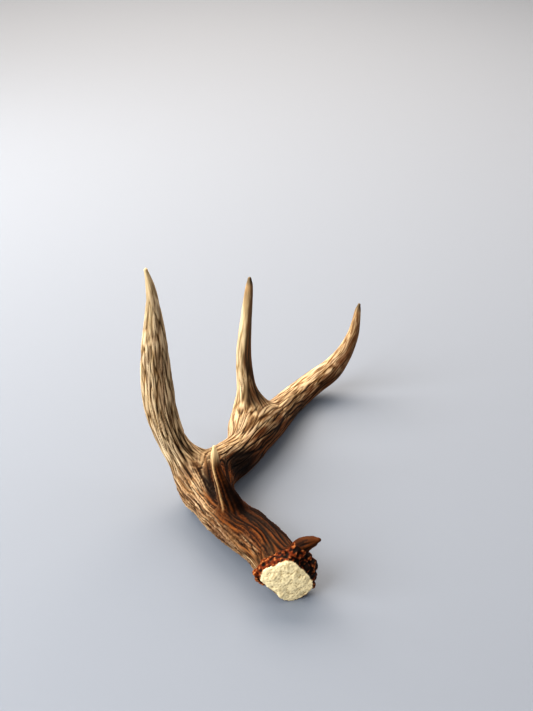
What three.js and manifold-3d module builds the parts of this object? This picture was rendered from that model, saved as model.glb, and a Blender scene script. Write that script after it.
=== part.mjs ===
// Shed left antler of a white-tailed deer, lying down with its tines up.
// Millimetres, +Z up.  The origin is on the ground under the middle of the antler's box.
// The main beam starts at the shed face and the coronet, swings out to the bend, and sweeps back
// to its tip.  It rests on the coronet, the underside of the bend and the underside of the outer
// beam.  The beam, the three tines and a small kicker on the coronet are grown together, and the
// finished antler is parted by thin cuts at its forks.

import * as THREE from 'three';
import { mergeVertices } from 'three/addons/utils/BufferGeometryUtils.js';
import Module from 'manifold-3d';

// Driving dimensions
const CUT_GAP = 0.3;
const RADII_PER_OUTLINE = 12;
const BEAM_SIDES = 26;
const BEAM_ROW = 9;
const TINE_SIDES = 20;
const TINE_ROW = 8;
const KICKER_SIDES = 10;
const KICKER_ROW = 4;
const PEARL_RADIUS = 4.2;
const PEARL_COUNT = 17;
const PEARL_INSET = 2.4;
const FACE_CROWN = 0.55;

const UP = new THREE.Vector3(0, 0, 1);
const AWAY = new THREE.Vector3(0, 1, 0);

// The shed face and the coronet aren't round: these are their radii, every 30 degrees
// anticlockwise from the right, as seen when the shed face points at the viewer.
const FACE_RADII = [19.8, 16.8, 18, 22.5, 22, 25.2, 19.5, 15.4, 16.6, 23.2, 25.6, 25];
const CORONET_RADII = [26, 23.5, 22, 22, 23, 26, 24, 17.6, 16.2, 21.6, 25.1, 26.8];

function oval(halfWidth, halfDepth) {
  return Array.from({ length: RADII_PER_OUTLINE }, (_, i) => {
    const angle = (2 * Math.PI * i) / RADII_PER_OUTLINE;
    return 1 / Math.hypot(Math.cos(angle) / halfWidth, Math.sin(angle) / halfDepth);
  });
}

function station(x, y, z, radii) {
  return { centre: new THREE.Vector3(x, y, z), radii };
}

// Main beam, from the middle of the shed face to the tip
const BEAM = [
  station(21.7, -170.2, 23.8, FACE_RADII.map((radius) => FACE_CROWN * radius)),
  station(21, -167, 24, FACE_RADII),
  station(19.5, -159, 24.3, CORONET_RADII),
  station(15, -147, 24.5, oval(19.5, 18.5)),
  station(-1, -119.8, 24.2, oval(19.6, 19.2)),
  station(-26.8, -90, 23.4, oval(19.6, 19.3)),
  station(-43.3, -61.5, 22.2, oval(20.2, 20.3)),
  station(-49, -34, 21.5, oval(21.4, 21.3)),
  station(-40.8, -11.5, 21.6, oval(20.3, 20.6)),
  station(-24.6, 10.4, 21.1, oval(19.4, 19.4)),
  station(-6.4, 45.7, 19.8, oval(18.1, 18.1)),
  station(11.6, 80.2, 18, oval(16.8, 16.6)),
  station(26.1, 110.2, 15.4, oval(14.9, 14.9)),
  station(41, 135, 14.4, oval(13.8, 13.9)),
  station(58.3, 151.9, 19.5, oval(12.9, 12.9)),
  station(75.7, 160.3, 29.6, oval(12, 12)),
  station(88.8, 163.8, 46.9, oval(9.2, 9.2)),
  station(98.5, 167, 70, oval(6.3, 6.3)),
  station(101.4, 168.5, 85, oval(4.6, 4.6)),
  station(103, 169.5, 99, oval(3.1, 3.1)),
  station(104.1, 170, 105.3, oval(1.4, 1.4)),
];

// Tines, from inside the beam to their tips
const BROW_TINE = [
  station(-24, -96, 25, oval(12, 9)),
  station(-27, -97, 47, oval(10.8, 6.2)),
  station(-32.2, -94, 60.9, oval(7.6, 5)),
  station(-38.7, -90, 81.4, oval(4.4, 3.8)),
  station(-40, -88, 92.6, oval(3.4, 3)),
  station(-40.1, -86, 99.6, oval(1.5, 1.5)),
];
const SECOND_TINE = [
  station(-46.5, -51, 22, oval(18, 15)),
  station(-60.5, -35, 33, oval(17, 14)),
  station(-72.5, -30, 48, oval(14.8, 12.6)),
  station(-82, -29, 66, oval(13.6, 11.4)),
  station(-89.6, -32, 97.6, oval(14.2, 10.2)),
  station(-91.8, -36, 134.9, oval(14.2, 9.5)),
  station(-91, -42, 174.6, oval(11.2, 8.3)),
  station(-89.9, -47, 201.3, oval(8, 7)),
  station(-89.1, -52, 222.5, oval(5.3, 5)),
  station(-89.8, -57, 239.8, oval(3.4, 3.3)),
  station(-91.7, -61, 254, oval(1.6, 1.6)),
];
const THIRD_TINE = [
  station(-13, 38, 20, oval(13, 13)),
  station(-12.6, 60.5, 37, oval(13.6, 12)),
  station(-16.1, 70, 65.3, oval(9.4, 8.8)),
  station(-18.1, 72, 99, oval(7.4, 7.1)),
  station(-15.2, 72, 138.2, oval(5.7, 5.7)),
  station(-12.7, 70, 166.3, oval(4.3, 4.3)),
  station(-11.7, 69, 178, oval(3.2, 3.2)),
  station(-11.5, 69, 184, oval(1.8, 1.8)),
];
const KICKER = [
  station(29, -154, 42, oval(7.5, 6.5)),
  station(32.8, -155, 48.7, oval(7.4, 6)),
  station(37.2, -156, 53.4, oval(6.1, 5)),
  station(42.2, -158, 57.4, oval(4.7, 3.9)),
  station(46.6, -160, 60.4, oval(2.1, 1.9)),
];

// Cuts at the forks: the middle of each cut, the way its limb runs there, and the cut's radius
const CUTS = [
  { at: [-25.8, -97, 47.5], along: [-0.2, 0.05, 0.98], radius: 17 },
  { at: [-69.5, -31, 44.5], along: [-0.6, 0.2, 0.77], radius: 24 },
  { at: [-32.5, 0, 21], along: [0.6, 0.8, 0], radius: 27 },
  { at: [-16.1, 65, 45], along: [-0.15, 0.35, 0.92], radius: 18 },
  { at: [16.5, 93, 16.2], along: [0.44, 0.89, -0.08], radius: 22 },
];

// Nodes: a point in the middle of each piece, and its colour
const NODES = [
  { name: 'beam_base', near: [-13.5, -83, 28], colour: 0x7a4a26, roughness: 0.7 },
  { name: 'brow_tine', near: [-33.5, -92, 72], colour: 0x5e3319, roughness: 0.6 },
  { name: 'second_tine', near: [-86.5, -41, 148], colour: 0xb3946a, roughness: 0.6 },
  { name: 'beam_middle', near: [-8.5, 47, 25], colour: 0x92724c, roughness: 0.65 },
  { name: 'third_tine', near: [-15.5, 70, 114], colour: 0xbb9f74, roughness: 0.6 },
  { name: 'beam_tip', near: [61.5, 139, 52], colour: 0xa08360, roughness: 0.6 },
];

// Catmull-Rom value between the numbers of a list.  A closed list runs on from its end to its start.
function between(values, position, closed) {
  const last = values.length - 1;
  const first = closed ? Math.floor(position) : Math.min(Math.floor(position), last - 1);
  const t = position - first;
  const pick = (i) => (closed ? values.at(i % values.length) : values[Math.min(Math.max(i, 0), last)]);
  const [a, b, c, d] = [pick(first - 1), pick(first), pick(first + 1), pick(first + 2)];
  const slopeIn = 0.5 * (c - a);
  const slopeOut = 0.5 * (d - b);
  return b + slopeIn * t + (3 * (c - b) - 2 * slopeIn - slopeOut) * t ** 2
    + (2 * (b - c) + slopeIn + slopeOut) * t ** 3;
}

// The place, the directions and the outline of a limb at a share of its stations
function sectionAt(stations, path, t, depthDirection) {
  const along = path.getTangent(t);
  const depth = depthDirection.clone().projectOnPlane(along).normalize();
  const width = along.clone().cross(depth);
  const position = t * (stations.length - 1);
  const radii = Array.from({ length: RADII_PER_OUTLINE }, (_, i) =>
    between(stations.map((one) => one.radii[i]), position, false));
  return { centre: path.getPoint(t), width, depth, radii };
}

function pointOnSection(section, angle, share) {
  const turn = angle < 0 ? angle + 2 * Math.PI : angle;
  const radius = share * between(section.radii, (turn * RADII_PER_OUTLINE) / (2 * Math.PI), true);
  return section.centre.clone()
    .addScaledVector(section.width, radius * Math.cos(angle))
    .addScaledVector(section.depth, radius * Math.sin(angle));
}

// Shares of the stations at which a limb has its rows of corners, so that each station has one
function rowShares(stations, row) {
  const spans = stations.length - 1;
  const shares = stations.slice(0, -1).flatMap((one, i) => {
    const steps = Math.ceil(one.centre.distanceTo(stations[i + 1].centre) / row);
    return Array.from({ length: steps }, (_, step) => (i + step / steps) / spans);
  });
  return [...shares, 1];
}

// A limb of bone: a closed cylinder bent along its stations, with their outlines
function limb(stations, depthDirection, sides, row) {
  const path = new THREE.CatmullRomCurve3(stations.map((one) => one.centre));
  const sections = rowShares(stations, row).map((t) => sectionAt(stations, path, t, depthDirection));
  const rows = sections.length - 1;
  const cylinder = new THREE.CylinderGeometry(1, 1, 1, sides, rows);
  const corners = cylinder.attributes.position;
  for (let i = 0; i < corners.count; i += 1) {
    const section = sections[Math.round((corners.getY(i) + 0.5) * rows)];
    const [across, deep] = [corners.getX(i), corners.getZ(i)];
    const point = pointOnSection(section, Math.atan2(deep, across), Math.hypot(across, deep));
    corners.setXYZ(i, point.x, point.y, point.z);
  }
  return cylinder;
}

// Pearls of bone that stand round the coronet
function pearls() {
  const path = new THREE.CatmullRomCurve3(BEAM.map((one) => one.centre));
  const coronet = BEAM.findIndex((one) => one.radii === CORONET_RADII);
  const section = sectionAt(BEAM, path, coronet / (BEAM.length - 1), UP);
  return Array.from({ length: PEARL_COUNT }, (_, i) => {
    const angle = (2 * Math.PI * i) / PEARL_COUNT;
    const rim = pointOnSection(section, angle, 1);
    const place = rim.lerp(section.centre, PEARL_INSET / rim.distanceTo(section.centre));
    const pearl = new THREE.IcosahedronGeometry(PEARL_RADIUS, 1);
    return pearl.translate(place.x, place.y, place.z);
  });
}

// A thin disc that parts a limb
function cutDisc({ at, along, radius }) {
  const disc = new THREE.CylinderGeometry(radius, radius, CUT_GAP, BEAM_SIDES);
  const turn = new THREE.Quaternion().setFromUnitVectors(AWAY, new THREE.Vector3(...along).normalize());
  return disc.applyQuaternion(turn).translate(...at);
}

const wasm = await Module();
wasm.setup();

function solid(geometry) {
  const bare = geometry.clone();
  bare.deleteAttribute('normal');
  bare.deleteAttribute('uv');
  const merged = mergeVertices(bare);
  return new wasm.Manifold(new wasm.Mesh({
    numProp: 3,
    vertProperties: new Float32Array(merged.attributes.position.array),
    triVerts: new Uint32Array(merged.index.array),
  }));
}

function geometryOf(body) {
  const mesh = body.getMesh();
  const geometry = new THREE.BufferGeometry();
  geometry.setAttribute('position', new THREE.BufferAttribute(mesh.vertProperties, 3));
  geometry.setIndex(new THREE.BufferAttribute(mesh.triVerts, 1));
  geometry.computeVertexNormals();
  geometry.computeBoundingBox();
  return geometry;
}

const limbs = [
  limb(BEAM, UP, BEAM_SIDES, BEAM_ROW),
  limb(BROW_TINE, AWAY, TINE_SIDES, TINE_ROW),
  limb(SECOND_TINE, AWAY, TINE_SIDES, TINE_ROW),
  limb(THIRD_TINE, AWAY, TINE_SIDES, TINE_ROW),
  limb(KICKER, AWAY, KICKER_SIDES, KICKER_ROW),
  ...pearls(),
];
const grown = limbs.map(solid).reduce((whole, part) => whole.add(part));
const parted = CUTS.map((cut) => solid(cutDisc(cut))).reduce((whole, disc) => whole.subtract(disc), grown);
const pieces = parted.decompose().map(geometryOf);

function nearest(point) {
  const distance = (geometry) => geometry.boundingBox.getCenter(new THREE.Vector3()).distanceTo(point);
  return pieces.reduce((best, geometry) => (distance(geometry) < distance(best) ? geometry : best));
}

const antler = new THREE.Group();
antler.name = 'antler';
for (const { name, near, colour, roughness } of NODES) {
  const finish = new THREE.MeshStandardMaterial({ color: colour, roughness, metalness: 0 });
  const mesh = new THREE.Mesh(nearest(new THREE.Vector3(...near)), finish);
  mesh.name = name;
  antler.add(mesh);
}

export default antler;
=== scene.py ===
"""Looks of a shed deer antler that lies on its main beam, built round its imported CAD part.

The antler grew as one bone.  Its skin is made once, as one surface: limbs that melt into each
other at the forks, with the furrows, ridges and beads that blood vessels left under the velvet.
That skin is then parted into the pieces of the CAD part, along the same cuts.
Shapes are worked out in millimetres, and Blender's meshes are in metres.
"""

import logging
import math
from dataclasses import dataclass
from enum import Enum
from functools import cached_property

import bmesh
import bpy
import numpy as np
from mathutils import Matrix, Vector


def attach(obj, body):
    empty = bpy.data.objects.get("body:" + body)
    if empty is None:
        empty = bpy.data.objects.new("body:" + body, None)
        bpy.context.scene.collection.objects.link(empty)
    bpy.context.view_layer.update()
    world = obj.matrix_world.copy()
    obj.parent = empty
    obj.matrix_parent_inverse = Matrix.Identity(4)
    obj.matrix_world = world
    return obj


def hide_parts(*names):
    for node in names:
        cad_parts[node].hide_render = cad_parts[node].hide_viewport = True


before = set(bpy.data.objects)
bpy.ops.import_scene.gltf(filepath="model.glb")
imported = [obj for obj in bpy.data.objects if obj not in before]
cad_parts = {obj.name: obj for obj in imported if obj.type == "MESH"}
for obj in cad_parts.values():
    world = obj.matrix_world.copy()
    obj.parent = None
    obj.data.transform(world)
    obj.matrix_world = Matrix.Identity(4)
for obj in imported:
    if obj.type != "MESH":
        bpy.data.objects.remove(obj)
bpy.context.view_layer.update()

log = logging.getLogger("antler")

MM = 0.001
TINY = 1e-6
# An outline has a radius every 30 degrees, and is also read as six waves round the limb.
OUTLINE_POINTS = 12
WAVES = OUTLINE_POINTS // 2

Place = tuple[float, float, float]
Pairs = tuple[tuple[float, float], ...]
Faces = list[tuple[int, ...]]
Solid = tuple[np.ndarray, Faces]


class Slot(Enum):
    """The material slots of the part."""

    STAINED = "stained_bone"
    WEATHERED = "weathered_bone"
    POLISHED = "polished_bone"


class Piece(Enum):
    """The pieces of the part, in the order in which they are made."""

    BEAM_BASE = "beam_base"
    BROW_TINE = "brow_tine"
    SECOND_TINE = "second_tine"
    BEAM_MIDDLE = "beam_middle"
    THIRD_TINE = "third_tine"
    BEAM_TIP = "beam_tip"


SLOT_OF = {
    Piece.BEAM_BASE: Slot.STAINED,
    Piece.BROW_TINE: Slot.STAINED,
    Piece.SECOND_TINE: Slot.WEATHERED,
    Piece.BEAM_MIDDLE: Slot.WEATHERED,
    Piece.THIRD_TINE: Slot.POLISHED,
    Piece.BEAM_TIP: Slot.POLISHED,
}


# ---------------------------------------------------------------- numbers


def step_up(low: float, high: float, values: np.ndarray) -> np.ndarray:
    """A smooth step from 0 at low to 1 at high.

    Args:
        low: where the step starts.
        high: where it ends.
        values: what is put through the step.

    Returns:
        Numbers from 0 to 1.
    """
    share = np.clip((values - low) / (high - low), 0.0, 1.0)
    return share * share * (3.0 - 2.0 * share)


def soft_min(first: np.ndarray, second: np.ndarray, width: float | np.ndarray) -> np.ndarray:
    """The smaller of two distances, with the corner between them rounded off.

    Args:
        first: distances to one body.
        second: distances to the other.
        width: how far from the corner the rounding starts, in mm.

    Returns:
        Distances to both bodies melted together.
    """
    near = np.maximum(width - np.abs(first - second), 0.0) / width
    return np.minimum(first, second) - near * near * width * 0.25


@dataclass(frozen=True)
class Ramp:
    """A value that changes along a limb.

    Args:
        pairs: (mm along the limb, value) from the root to the tip.
    """

    pairs: Pairs

    def at(self, run: np.ndarray) -> np.ndarray:
        """The value at each place along the limb."""
        places, values = zip(*self.pairs)
        return np.interp(run, places, values)


def steady(value: float) -> Ramp:
    """A value that is the same all along a limb."""
    return Ramp(((0, value),))


@dataclass(frozen=True)
class Grain:
    """Smooth random values in space, the same on every run.

    Args:
        seed: picks the pattern.
        cell: size of one cell of the pattern in mm, across, deep and along.
    """

    seed: int
    cell: Place

    # The pattern repeats after this many cells, a power of two.
    CELLS = 256

    @cached_property
    def tables(self) -> tuple[np.ndarray, np.ndarray]:
        """A shuffled list of cell numbers, and the slope that each number stands for."""
        source = np.random.default_rng(self.seed)
        shuffled = source.permutation(self.CELLS)
        slopes = source.normal(size=(self.CELLS, 3))
        slopes /= np.linalg.norm(slopes, axis=1)[:, None]
        return np.concatenate([shuffled, shuffled]), slopes.astype(np.float32)

    def at(self, points: np.ndarray) -> np.ndarray:
        """The pattern's value, about -0.7 to 0.7, at each point in mm."""
        shuffled, slopes = self.tables
        last = self.CELLS - 1
        scaled = points / np.asarray(self.cell)
        corner = np.floor(scaled)
        inside = (scaled - corner).astype(np.float32)
        corner = corner.astype(np.int64) & last
        ease = inside**3 * (inside * (inside * 6 - 15) + 10)
        total = np.zeros(len(points), np.float32)
        for right in (0, 1):
            row = shuffled[(corner[:, 0] + right) & last]
            ease_x = ease[:, 0] if right else 1 - ease[:, 0]
            for deep in (0, 1):
                column = shuffled[(row + corner[:, 1] + deep) & last]
                ease_y = ease[:, 1] if deep else 1 - ease[:, 1]
                for high in (0, 1):
                    slope = slopes[shuffled[(column + corner[:, 2] + high) & last]]
                    ease_z = ease[:, 2] if high else 1 - ease[:, 2]
                    dot = (
                        slope[:, 0] * (inside[:, 0] - right)
                        + slope[:, 1] * (inside[:, 1] - deep)
                        + slope[:, 2] * (inside[:, 2] - high)
                    )
                    total += ease_x * ease_y * ease_z * dot
        return total.astype(float)


# ---------------------------------------------------------------- limbs


def oval(half_width: float, half_depth: float) -> tuple[float, ...]:
    """The twelve radii of an oval outline, every 30 degrees."""
    turns = [2 * math.pi * i / OUTLINE_POINTS for i in range(OUTLINE_POINTS)]
    return tuple(
        1 / math.hypot(math.cos(turn) / half_width, math.sin(turn) / half_depth) for turn in turns
    )


def outline_radius(waves: np.ndarray, turn: np.ndarray | float) -> np.ndarray:
    """How far an outline is from the middle line at each angle.

    Args:
        waves: the outline's waves along the first axis, as Limb.waves gives them.
        turn: angles round the limb.

    Returns:
        Radii in mm.
    """
    radius = waves[0] + np.zeros_like(turn)
    for k in range(1, WAVES + 1):
        swing = waves[k] * np.cos(k * turn) + waves[WAVES + 1 + k] * np.sin(k * turn)
        radius = radius + swing
    return radius


@dataclass(frozen=True)
class Station:
    """A place on a limb's middle line, with the limb's outline there.

    Args:
        centre: the place, in mm.
        radii: twelve radii, every 30 degrees from the limb's width towards its depth.
    """

    centre: Place
    radii: tuple[float, ...]


@dataclass(frozen=True)
class Line:
    """A limb's middle line, read off at even steps.

    Args:
        centre: the places on it.
        along: the direction in which it runs at each.
        width: the direction from which its outline's angles are counted.
        depth: the direction a quarter turn from width.
        radii: twelve radii of the outline at each.
        girth: the mean radius at each, without its quick changes.
        step: mm from one place to the next.
    """

    centre: np.ndarray
    along: np.ndarray
    width: np.ndarray
    depth: np.ndarray
    radii: np.ndarray
    girth: np.ndarray
    step: float


@dataclass(frozen=True)
class Reading:
    """Where points lie as a limb sees them.

    Args:
        distance: mm outside the limb's surface, negative inside it.
        run: mm along the limb.
        turn: angle round the limb, from its width towards its depth.
        reach: share of the outline's radius at which the point lies.
        flow: the point on a straightened limb: across, deep and along.
    """

    distance: np.ndarray
    run: np.ndarray
    turn: np.ndarray
    reach: np.ndarray
    flow: np.ndarray


@dataclass(frozen=True)
class Limb:
    """A beam or tine of bone, swept along its middle line.

    Args:
        stations: places and outlines, from the root to the tip.
        towards: the direction that its depth points in, as far as it can.
        web: mm over which it melts into the limb that it grows from.
        web_from: mm out from its first station at which that melting starts to widen.
        marks_from: mm out from its first station at which its own marks start.
        open_root: whether it runs on straight before its first station.
    """

    stations: tuple[Station, ...]
    towards: Place
    web: float
    web_from: float = -40.0
    marks_from: float = -40.0
    open_root: bool = False

    # Mm between the places of the middle line, and steps of the curve between two stations.
    STEP = 1.5
    SPAN_STEPS = 24
    # Mm over which the girth is evened out, and how many steps to each side that takes.
    CALM = 22.0
    CALM_STEPS = 60
    # How points find their place on the line: points at a time, rounds, the longest move in a
    # round in steps, and the least that a sharp bend may shorten the line to.
    BLOCK = 16384
    ROUNDS = 3
    LONGEST_MOVE = 2
    LEAST_PULL = 0.35
    # A tine's hidden root: mm over which it tapers, rows of corners there, and how pointed it is.
    BUD = 14.0
    BUD_ROWS = 7
    BUD_POINT = 0.85
    # The least mm between that and the next row of corners.
    ROW_GAP = 0.5
    # Mm over which a hidden root melts in, over which the web grows and over which marks start.
    ROOT_WEB = 2.0
    WEB_GROWS = 40.0
    MARKS_GROW = 18.0

    @cached_property
    def line(self) -> Line:
        """The limb's middle line at even steps."""
        path = self.curve(np.array([one.centre for one in self.stations]))
        outlines = self.fade(np.array([one.radii for one in self.stations]))
        gaps = np.linalg.norm(np.diff(path, axis=0), axis=1)
        runs = np.concatenate([[0.0], np.cumsum(gaps)])
        even = np.linspace(0.0, runs[-1], int(round(runs[-1] / self.STEP)) + 1)
        centre, radii = (
            np.stack([np.interp(even, runs, column) for column in table.T], axis=1)
            for table in (path, outlines)
        )
        along = np.gradient(centre, axis=0)
        along /= np.linalg.norm(along, axis=1)[:, None]
        depth = np.asarray(self.towards) - (along @ np.asarray(self.towards))[:, None] * along
        depth /= np.linalg.norm(depth, axis=1)[:, None]
        step = even[1] - even[0]
        reach = np.arange(-self.CALM_STEPS, self.CALM_STEPS + 1) * step
        calm = np.exp(-0.5 * (reach / self.CALM) ** 2)
        mean = np.pad(radii.mean(axis=1), self.CALM_STEPS, mode="edge")
        girth = np.convolve(mean, calm / calm.sum(), mode="valid")
        return Line(centre, along, np.cross(along, depth), depth, radii, girth, step)

    def cubic(
        self, start: np.ndarray, stop: np.ndarray, out: np.ndarray, back: np.ndarray
    ) -> np.ndarray:
        """Even steps of a cubic curve between two stations.

        Args:
            start: where it starts.
            stop: where it ends, which is not among its steps.
            out: its slope at the start.
            back: its slope at the end.

        Returns:
            One row for each step.
        """
        share = np.arange(self.SPAN_STEPS)[:, None] / self.SPAN_STEPS
        square = 3 * (stop - start) - 2 * out - back
        cube = 2 * (start - stop) + out + back
        return start + out * share + square * share**2 + cube * share**3

    def curve(self, knots: np.ndarray) -> np.ndarray:
        """A centripetal Catmull-Rom curve.

        Args:
            knots: the points that it passes.

        Returns:
            Points on the curve.
        """
        ends = np.vstack([2 * knots[0] - knots[1], knots, 2 * knots[-1] - knots[-2]])
        spans = []
        for i in range(1, len(ends) - 2):
            before, start, stop, after = ends[i - 1 : i + 3]
            gaps = [
                math.sqrt(float(np.linalg.norm(b - a)))
                for a, b in ((before, start), (start, stop), (stop, after))
            ]
            out = (start - before) / gaps[0] - (stop - before) / (gaps[0] + gaps[1])
            out = (out + (stop - start) / gaps[1]) * gaps[1]
            back = (stop - start) / gaps[1] - (after - start) / (gaps[1] + gaps[2])
            back = (back + (after - stop) / gaps[2]) * gaps[1]
            spans.append(self.cubic(start, stop, out, back))
        return np.vstack([*spans, knots[-1:]])

    def fade(self, values: np.ndarray) -> np.ndarray:
        """Outlines between the stations' outlines.

        Args:
            values: one row of radii for each station.

        Returns:
            One row of radii for each point that curve gives.
        """
        ends = np.vstack([values[:1], values, values[-1:]])
        spans = []
        for i in range(1, len(ends) - 2):
            before, start, stop, after = ends[i - 1 : i + 3]
            spans.append(self.cubic(start, stop, 0.5 * (stop - before), 0.5 * (after - start)))
        return np.vstack([*spans, values[-1:]])

    @cached_property
    def waves(self) -> np.ndarray:
        """Each outline as a sum of waves round the limb: cosine parts, then sine parts."""
        parts = np.fft.rfft(self.line.radii, axis=1) / OUTLINE_POINTS
        parts[:, 1:WAVES] *= 2
        return np.concatenate([parts.real, -parts.imag], axis=1)

    def length(self) -> float:
        """Length of the middle line in mm."""
        return self.line.step * (len(self.line.centre) - 1)
    def spot(self, points: np.ndarray) -> np.ndarray:
        """The nearest place on the middle line, in steps from its start.

        Args:
            points: places in mm.

        Returns:
            Numbers of steps, with fractions.
        """
        line = self.line
        half = 0.5 * np.sum(line.centre**2, axis=1)
        nearest = np.empty(len(points))
        for start in range(0, len(points), self.BLOCK):
            block = points[start : start + self.BLOCK]
            nearest[start : start + self.BLOCK] = np.argmin(half - block @ line.centre.T, axis=1)
        bend = np.gradient(line.along, axis=0) / line.step
        for _ in range(self.ROUNDS):
            out = points - self.between(line.centre, nearest)
            along = self.between(line.along, nearest)
            pull = 1 - np.sum(out * self.between(bend, nearest), axis=1)
            move = np.sum(out * along, axis=1) / np.maximum(pull, self.LEAST_PULL) / line.step
            move = np.clip(move, -self.LONGEST_MOVE, self.LONGEST_MOVE)
            nearest = np.clip(nearest + move, 0, len(line.centre) - 1)
        return nearest

    @staticmethod
    def between(values: np.ndarray, spot: np.ndarray) -> np.ndarray:
        """Rows of values between its rows.

        Args:
            values: one row for each step of the line.
            spot: steps from the line's start.

        Returns:
            One row for each spot.
        """
        low = np.minimum(spot.astype(np.int64), len(values) - 2)
        share = (spot - low)[:, None] if values.ndim > 1 else spot - low
        return values[low] * (1 - share) + values[low + 1] * share

    def read(self, points: np.ndarray) -> Reading:
        """Where each point lies as this limb sees it.

        Args:
            points: places in mm.

        Returns:
            The reading.
        """
        line = self.line
        spot = self.spot(points)
        out = points - self.between(line.centre, spot)
        across = np.sum(out * self.between(line.width, spot), axis=1)
        deep = np.sum(out * self.between(line.depth, spot), axis=1)
        over = np.sum(out * self.between(line.along, spot), axis=1)
        last = len(line.centre) - 1
        past = np.where(spot >= last - TINY, np.maximum(over, 0), 0.0)
        before = np.where(spot <= TINY, np.maximum(-over, 0), 0.0)
        turn = np.arctan2(deep, across)
        radius = outline_radius(self.between(self.waves, spot).T, turn)
        beyond = past if self.open_root else past + before
        side = np.hypot(across, deep)
        distance = np.hypot(side, beyond) - radius
        run = spot * line.step - before
        girth = self.between(line.girth, spot)
        flow = np.stack([girth * np.cos(turn), girth * np.sin(turn), run], axis=1)
        return Reading(distance, run, turn, side / radius, flow)

    def risen(self, points: np.ndarray) -> np.ndarray:
        """Mm by which points lie out from the first station, along the limb's first stretch."""
        root = np.asarray(self.stations[0].centre)
        outward = np.asarray(self.stations[1].centre) - root
        return (points - root) @ (outward / np.linalg.norm(outward))

    def web_at(self, points: np.ndarray) -> np.ndarray:
        """Mm over which the limb melts into its neighbour: little round its hidden root."""
        grown = step_up(self.web_from, self.web_from + self.WEB_GROWS, self.risen(points))
        return self.ROOT_WEB + (self.web - self.ROOT_WEB) * grown

    def root_share(self, points: np.ndarray) -> np.ndarray:
        """How far each point still belongs to the limb's root, whose marks are its neighbour's."""
        return 1 - step_up(self.marks_from, self.marks_from + self.MARKS_GROW, self.risen(points))

    def bud(self) -> tuple[np.ndarray, np.ndarray]:
        """Mm along the limb, and the share of its outline that its hidden root has there."""
        runs = np.linspace(0.0, self.BUD, self.BUD_ROWS)
        return runs, np.sqrt(1 - self.BUD_POINT * (1 - runs / self.BUD) ** 2)

    def loft(self, sides: int, row: float, root: tuple[np.ndarray, np.ndarray]) -> Solid:
        """A closed mesh of the limb, for the skin to start from.

        Args:
            sides: corners round the limb.
            row: mm between two rows of corners.
            root: mm along the limb, and the share of its outline that its root has there.

        Returns:
            Corners in mm, and faces.
        """
        line = self.line
        runs = np.linspace(0, self.length(), int(self.length() / row) + 1)
        runs = np.concatenate([root[0], runs[runs > root[0][-1] + self.ROW_GAP]])
        picks = runs / line.step
        turns = np.linspace(0, 2 * math.pi, sides, endpoint=False)
        radius = outline_radius(self.between(self.waves, picks).T[:, :, None], turns)
        radius[: len(root[1])] *= root[1][:, None]
        rings = (
            self.between(line.centre, picks)[:, None]
            + (radius * np.cos(turns))[:, :, None] * self.between(line.width, picks)[:, None]
            + (radius * np.sin(turns))[:, :, None] * self.between(line.depth, picks)[:, None]
        )
        top = (len(picks) - 1) * sides
        faces: Faces = []
        for low in range(0, top, sides):
            high = low + sides
            for i in range(sides):
                k = (i + 1) % sides
                faces.append((low + i, low + k, high + k, high + i))
        faces.append(tuple(range(sides - 1, -1, -1)))
        faces.append(tuple(range(top, top + sides)))
        return rings.reshape(-1, 3), faces


FACE_RADII = (19.8, 16.8, 18, 22.5, 22, 25.2, 19.5, 15.4, 16.6, 23.2, 25.6, 25)
CORONET_RADII = (26, 23.5, 22, 22, 23, 26, 24, 17.6, 16.2, 21.6, 25.1, 26.8)

BEAM = Limb(
    stations=(
        Station((21.7, -170.2, 23.8), FACE_RADII),
        Station((21, -167, 24), FACE_RADII),
        Station((19.5, -159, 24.3), CORONET_RADII),
        Station((15, -147, 24.5), oval(19.5, 18.5)),
        Station((-1, -119.8, 24.2), oval(19.6, 19.2)),
        Station((-26.8, -90, 23.4), oval(19.6, 19.3)),
        Station((-43.3, -61.5, 22.2), oval(20.2, 20.3)),
        Station((-49, -34, 21.5), oval(21.4, 21.3)),
        Station((-40.8, -11.5, 21.6), oval(20.3, 20.6)),
        Station((-24.6, 10.4, 21.1), oval(19.4, 19.4)),
        Station((-6.4, 45.7, 19.8), oval(18.1, 18.1)),
        Station((11.6, 80.2, 18), oval(16.8, 16.6)),
        Station((26.1, 110.2, 15.4), oval(14.9, 14.9)),
        Station((41, 135, 14.4), oval(13.8, 13.9)),
        Station((58.3, 151.9, 19.5), oval(12.9, 12.9)),
        Station((75.7, 160.3, 29.6), oval(12, 12)),
        Station((88.8, 163.8, 46.9), oval(9.2, 9.2)),
        Station((98.5, 167, 70), oval(6.3, 6.3)),
        Station((101.4, 168.5, 85), oval(4.6, 4.6)),
        Station((103, 169.5, 99), oval(3.1, 3.1)),
        Station((104.1, 170, 105.3), oval(1.4, 1.4)),
    ),
    towards=(0, 0, 1),
    web=1.0,
    open_root=True,
)
BROW_TINE = Limb(
    stations=(
        Station((-24, -96, 25), oval(12, 9)),
        Station((-27, -97, 47), oval(10.8, 6.2)),
        Station((-32.2, -94, 60.9), oval(7.6, 5)),
        Station((-38.7, -90, 81.4), oval(4.4, 3.8)),
        Station((-40, -88, 92.6), oval(3.4, 3)),
        Station((-40.1, -86, 99.6), oval(1.5, 1.5)),
    ),
    towards=(0, 1, 0),
    web=9.0,
)
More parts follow.
